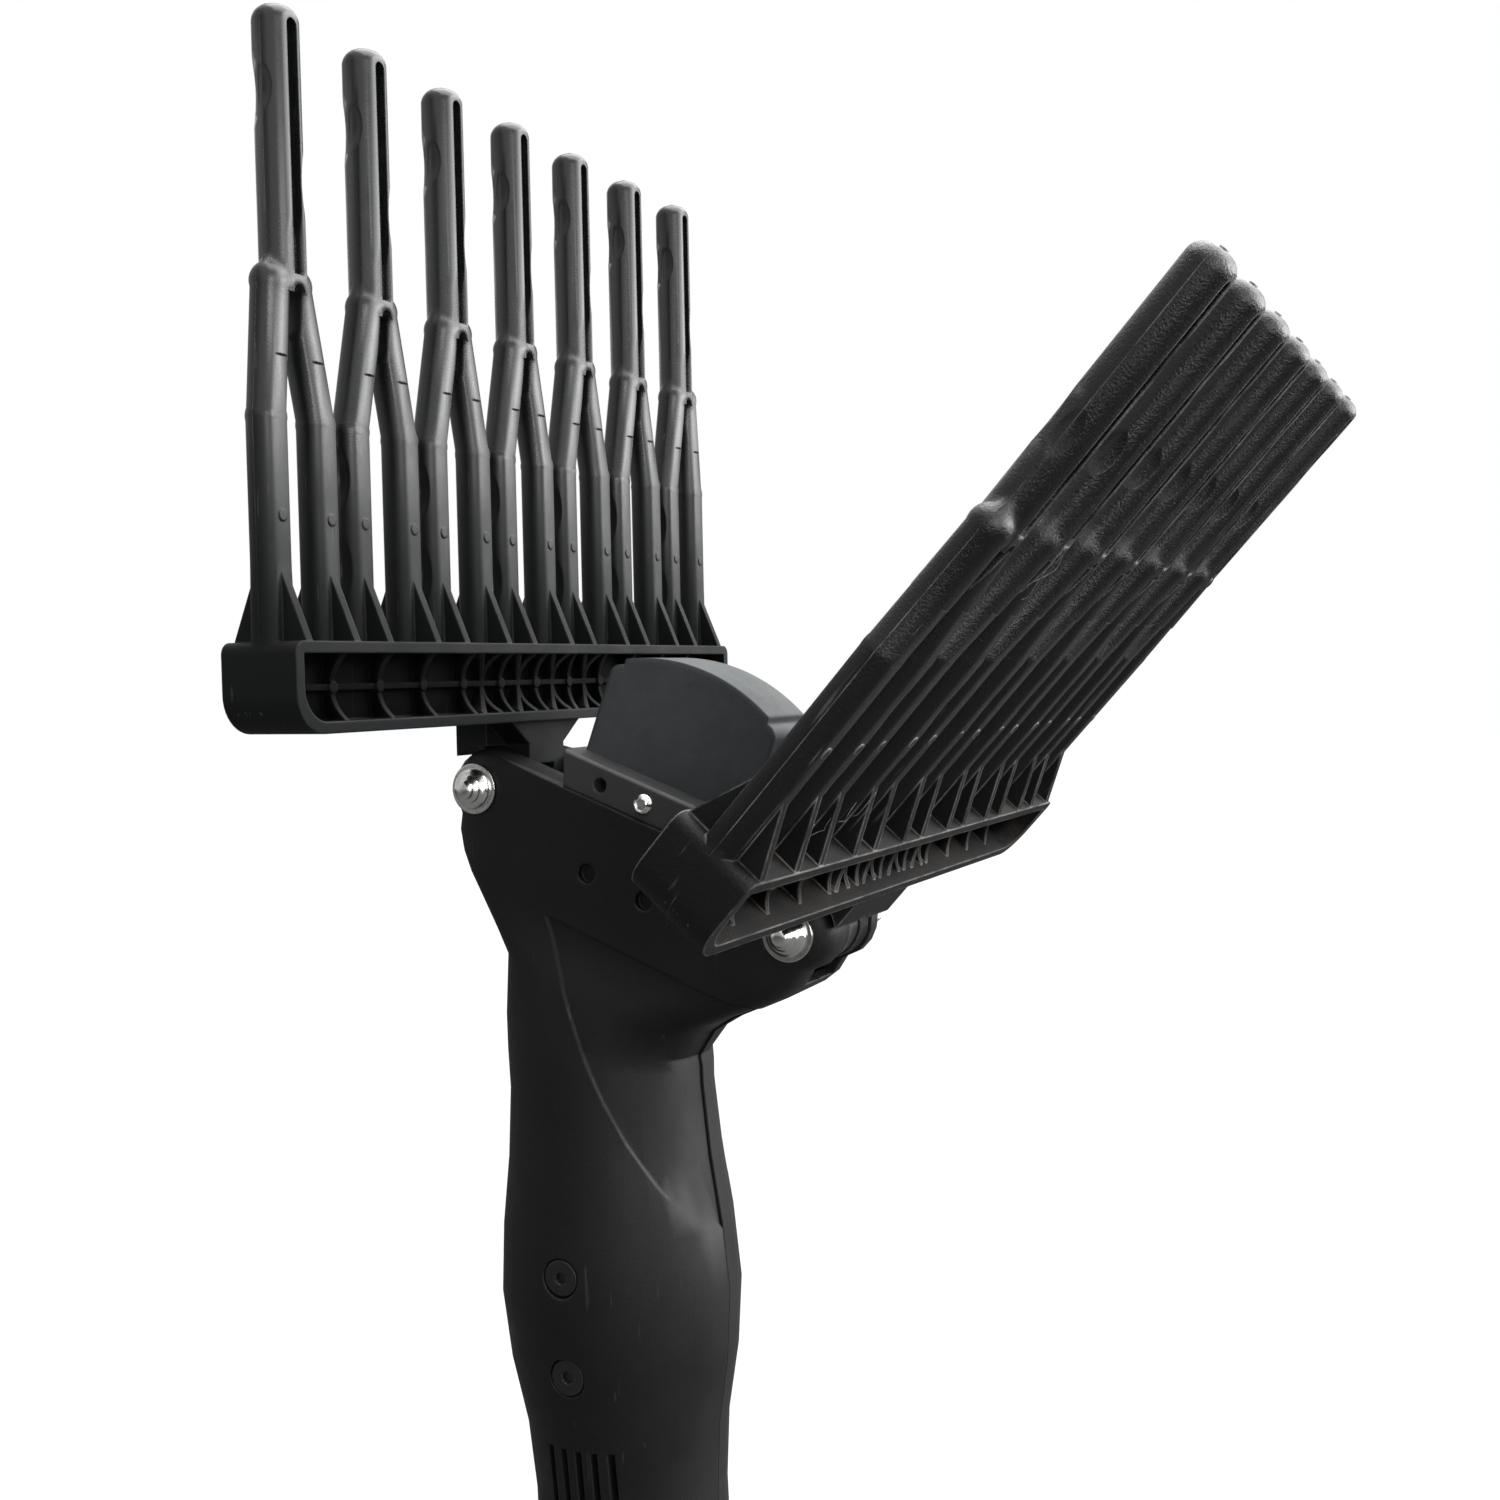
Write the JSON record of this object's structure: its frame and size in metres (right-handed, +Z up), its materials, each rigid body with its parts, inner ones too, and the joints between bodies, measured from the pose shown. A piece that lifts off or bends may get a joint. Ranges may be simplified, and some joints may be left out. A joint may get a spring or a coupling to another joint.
{
  "type": "electric olive harvester head",
  "caption": "Pole-mounted electric olive harvester head: two forked-finger combs clap about pivots in a bent black handle, driven by a gearmotor, crank and sliding yoke.",
  "frame": {"origin": "centre of the pole socket's mouth", "axes": "+Z up along the pole and handle, the head leans towards +X, the comb bars run along Y and -Y is the front"},
  "size_m": [0.201, 0.19, 0.4181],
  "materials": {
    "casing": "fine moulded black",
    "comb": "satin black glass-filled nylon",
    "bumper_rubber": "slate grey",
    "bracket": "black powder coat",
    "bright_steel": "bright zinc",
    "black_steel": "black oxide",
    "steel": "ground",
    "bronze": "sintered",
    "alloy": "machined",
    "can": "drawn",
    "dark_plastic": "moulded"
  },
  "bodies": {
    "housing": {"front_shell": "casing", "rear_shell": "casing", "centre_bumper": "bumper_rubber", "bumper_bracket": "bracket", "bumper_screw": "bright_steel", "pivot_bolts": "bright_steel", "pivot_washers": "bright_steel", "pivot_nuts": "bright_steel", "pivot_bushes": "bronze", "crank_bearing": "steel", "shaft_bearing": "steel", "gearbox": "alloy", "motor_can": "can", "motor_cap": "dark_plastic", "gearbox_screws": "black_steel", "case_screws": "black_steel", "pole_socket": "alloy", "socket_screws": "black_steel", "power_inlet": "dark_plastic"},
    "left_rake": {"left_comb": "comb", "left_lever": "steel", "left_key_pins": "steel"},
    "right_rake": {"right_comb": "comb", "right_lever": "steel", "right_key_pins": "steel"},
    "yoke": {"crosshead": "steel", "drive_pins": "steel"},
    "crank_set": {"crank": "steel", "crown_gear": "steel"},
    "drive_shaft": {"output_shaft": "steel", "pinion": "steel"},
    "rotor": {"motor_shaft": "steel", "cooling_fan": "dark_plastic"}
  },
  "joints": [
    {"name": "left_swing", "type": "hinge", "parent": "housing", "child": "left_rake", "pos_m": [-0.02322, 0, 0.25683], "axis": [0, -1, 0], "range_deg": [-16, 2]},
    {"name": "right_swing", "type": "hinge", "parent": "housing", "child": "right_rake", "pos_m": [0.05722, 0, 0.22317], "axis": [0, 1, 0], "range_deg": [-16, 2]},
    {"name": "yoke_slide", "type": "slide", "parent": "housing", "child": "yoke", "axis": [0.3859, 0, 0.9225], "range_m": [-0.00785, 0.00105]},
    {"name": "crank_spin", "type": "hinge", "parent": "housing", "child": "crank_set", "pos_m": [0, 0, 0.19936], "axis": [0, 1, 0], "continuous": true},
    {"name": "shaft_spin", "type": "hinge", "parent": "housing", "child": "drive_shaft", "pos_m": [0, 0, 0.18436], "axis": [0, 0, 1], "continuous": true},
    {"name": "rotor_spin", "type": "hinge", "parent": "housing", "child": "rotor", "pos_m": [0, 0, 0.0625], "axis": [0, 0, 1], "continuous": true}
  ],
  "couplings": [
    {"joint": "right_swing", "follows": "left_swing", "ratio": 1},
    {"joint": "yoke_slide", "follows": "left_swing", "m_per_rad": 0.0277},
    {"joint": "shaft_spin", "follows": "crank_spin", "ratio": 2.5},
    {"joint": "rotor_spin", "follows": "crank_spin", "ratio": 10}
  ]
}
